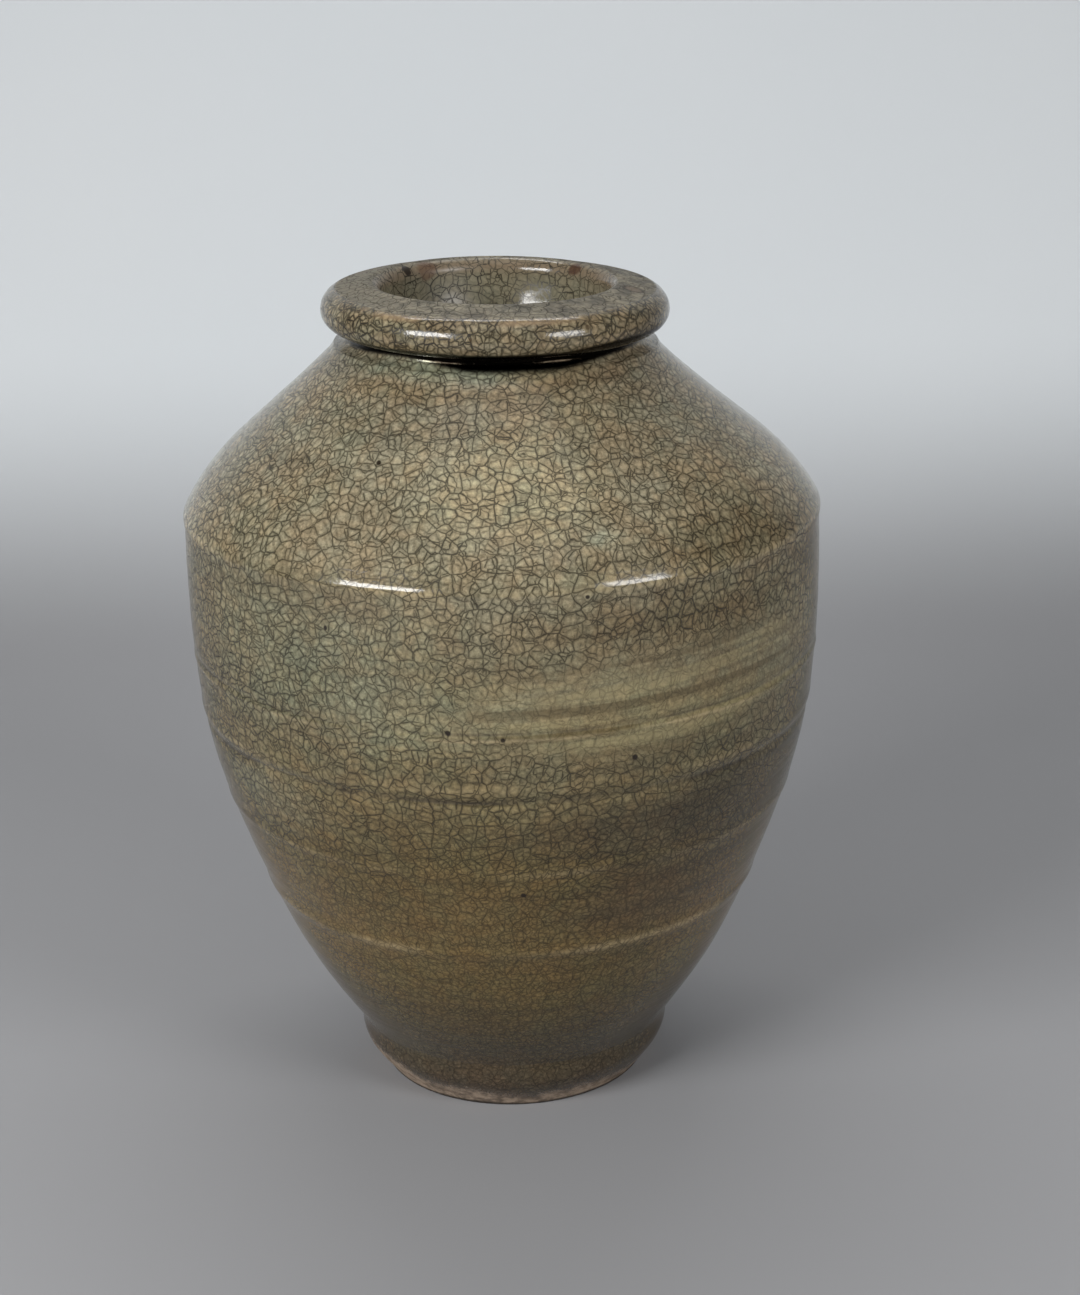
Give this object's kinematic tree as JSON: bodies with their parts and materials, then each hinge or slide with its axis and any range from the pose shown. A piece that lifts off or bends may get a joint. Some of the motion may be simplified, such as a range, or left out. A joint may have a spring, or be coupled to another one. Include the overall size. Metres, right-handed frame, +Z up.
{
  "type": "jar",
  "caption": "Round stoneware jar with a narrow mouth, rolled rim, short undercut neck, wide shoulder, tapering body and turned foot; crackled glaze.",
  "frame": {"origin": "centre of the plane that the foot rests on", "axes": "+Z up along the jar's axis of turning, +Y away from the side that the picture shows, +X to its right"},
  "size_m": [0.2138, 0.2138, 0.28],
  "materials": {
    "body_glaze": "gloss",
    "rim_glaze": "gloss",
    "foot_glaze": "satin",
    "bare_clay": "matte"
  },
  "bodies": {
    "root": {"foot_ring": "foot_glaze", "base_disc": "bare_clay", "lower_wall": "body_glaze", "middle_wall": "body_glaze", "belly_wall": "body_glaze", "shoulder_wall": "body_glaze", "neck_collar": "body_glaze", "rolled_rim": "rim_glaze"}
  },
  "joints": []
}
